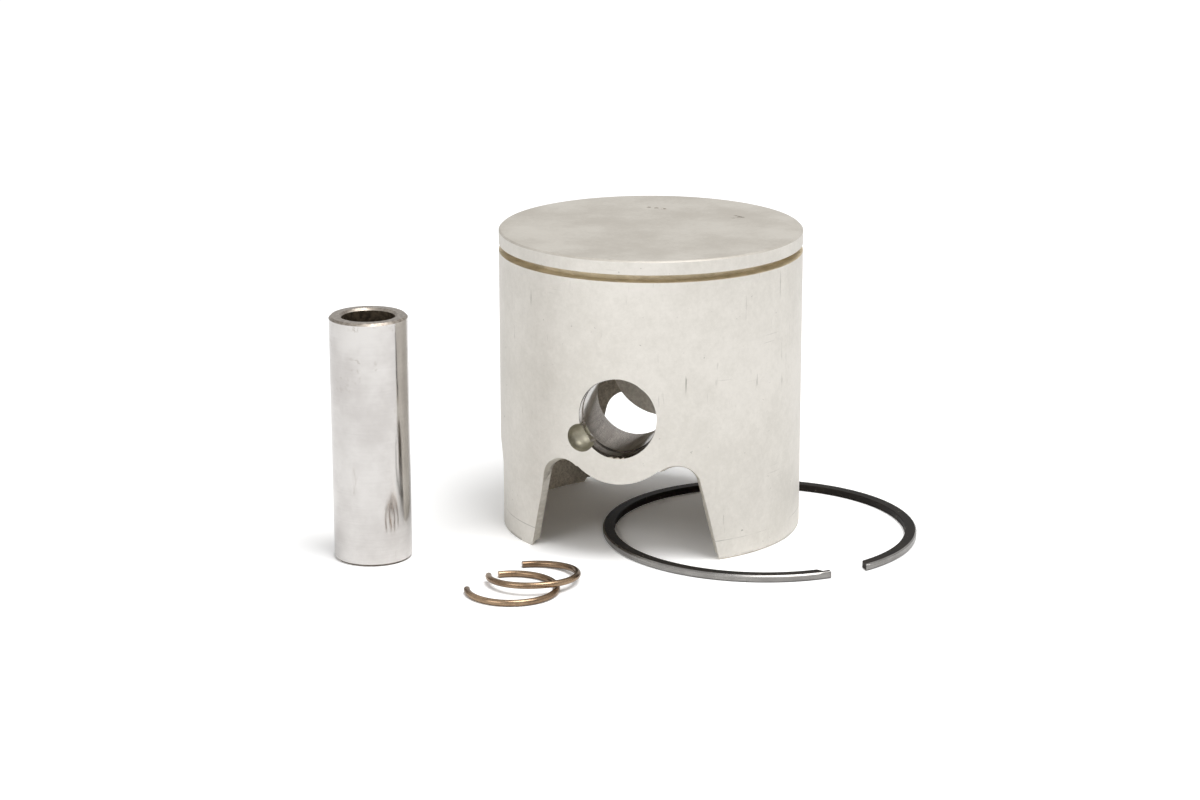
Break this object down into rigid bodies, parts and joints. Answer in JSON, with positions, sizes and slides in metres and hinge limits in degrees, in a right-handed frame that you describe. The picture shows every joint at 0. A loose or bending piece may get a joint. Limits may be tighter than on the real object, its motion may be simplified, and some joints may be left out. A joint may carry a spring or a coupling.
{
  "type": "two-stroke piston kit",
  "caption": "Short-skirt two-stroke piston with windowed skirt, standing beside its loose piston ring, gudgeon pin and wire circlips.",
  "frame": {"origin": "centre of the gudgeon pin bore, on the piston's own axis", "axes": "+Y along the gudgeon pin bore, away from the viewer; +Z along the piston's axis to the crown; +X across to the leg that the lying ring surrounds. The floor is the plane of the skirt foot."},
  "size_m": [0.0867, 0.0707, 0.0477],
  "materials": {
    "piston": "turned satin skirt and crown, rough as-cast inside",
    "ring_peg": "plain drawn steel",
    "piston_ring": "dark phosphate on the sides, bright chromed running face",
    "gudgeon_pin": "ground and polished steel",
    "circlip_lower": "bronze-tempered spring wire",
    "circlip_upper": "bronze-tempered spring wire"
  },
  "bodies": {
    "piston": {"piston": "piston", "ring_peg": "ring_peg"},
    "ring": {"piston_ring": "piston_ring"},
    "pin": {"gudgeon_pin": "gudgeon_pin"},
    "clip_lower": {"circlip_lower": "circlip_lower"},
    "clip_upper": {"circlip_upper": "circlip_upper"}
  },
  "joints": [
    {"name": "pin_lift", "type": "slide", "parent": "piston", "child": "pin", "axis": [0, 0, 1], "range_m": [0, 0.06]},
    {"name": "ring_turn", "type": "hinge", "parent": "piston", "child": "ring", "pos_m": [0.0184, -0.00336, -0.0225], "axis": [0, 0, 1], "continuous": true},
    {"name": "clip_lower_lift", "type": "slide", "parent": "piston", "child": "clip_lower", "axis": [0, 0, 1], "range_m": [0, 0.06]},
    {"name": "clip_upper_lift", "type": "slide", "parent": "clip_lower", "child": "clip_upper", "axis": [0, 0, 1], "range_m": [0, 0.06]}
  ]
}
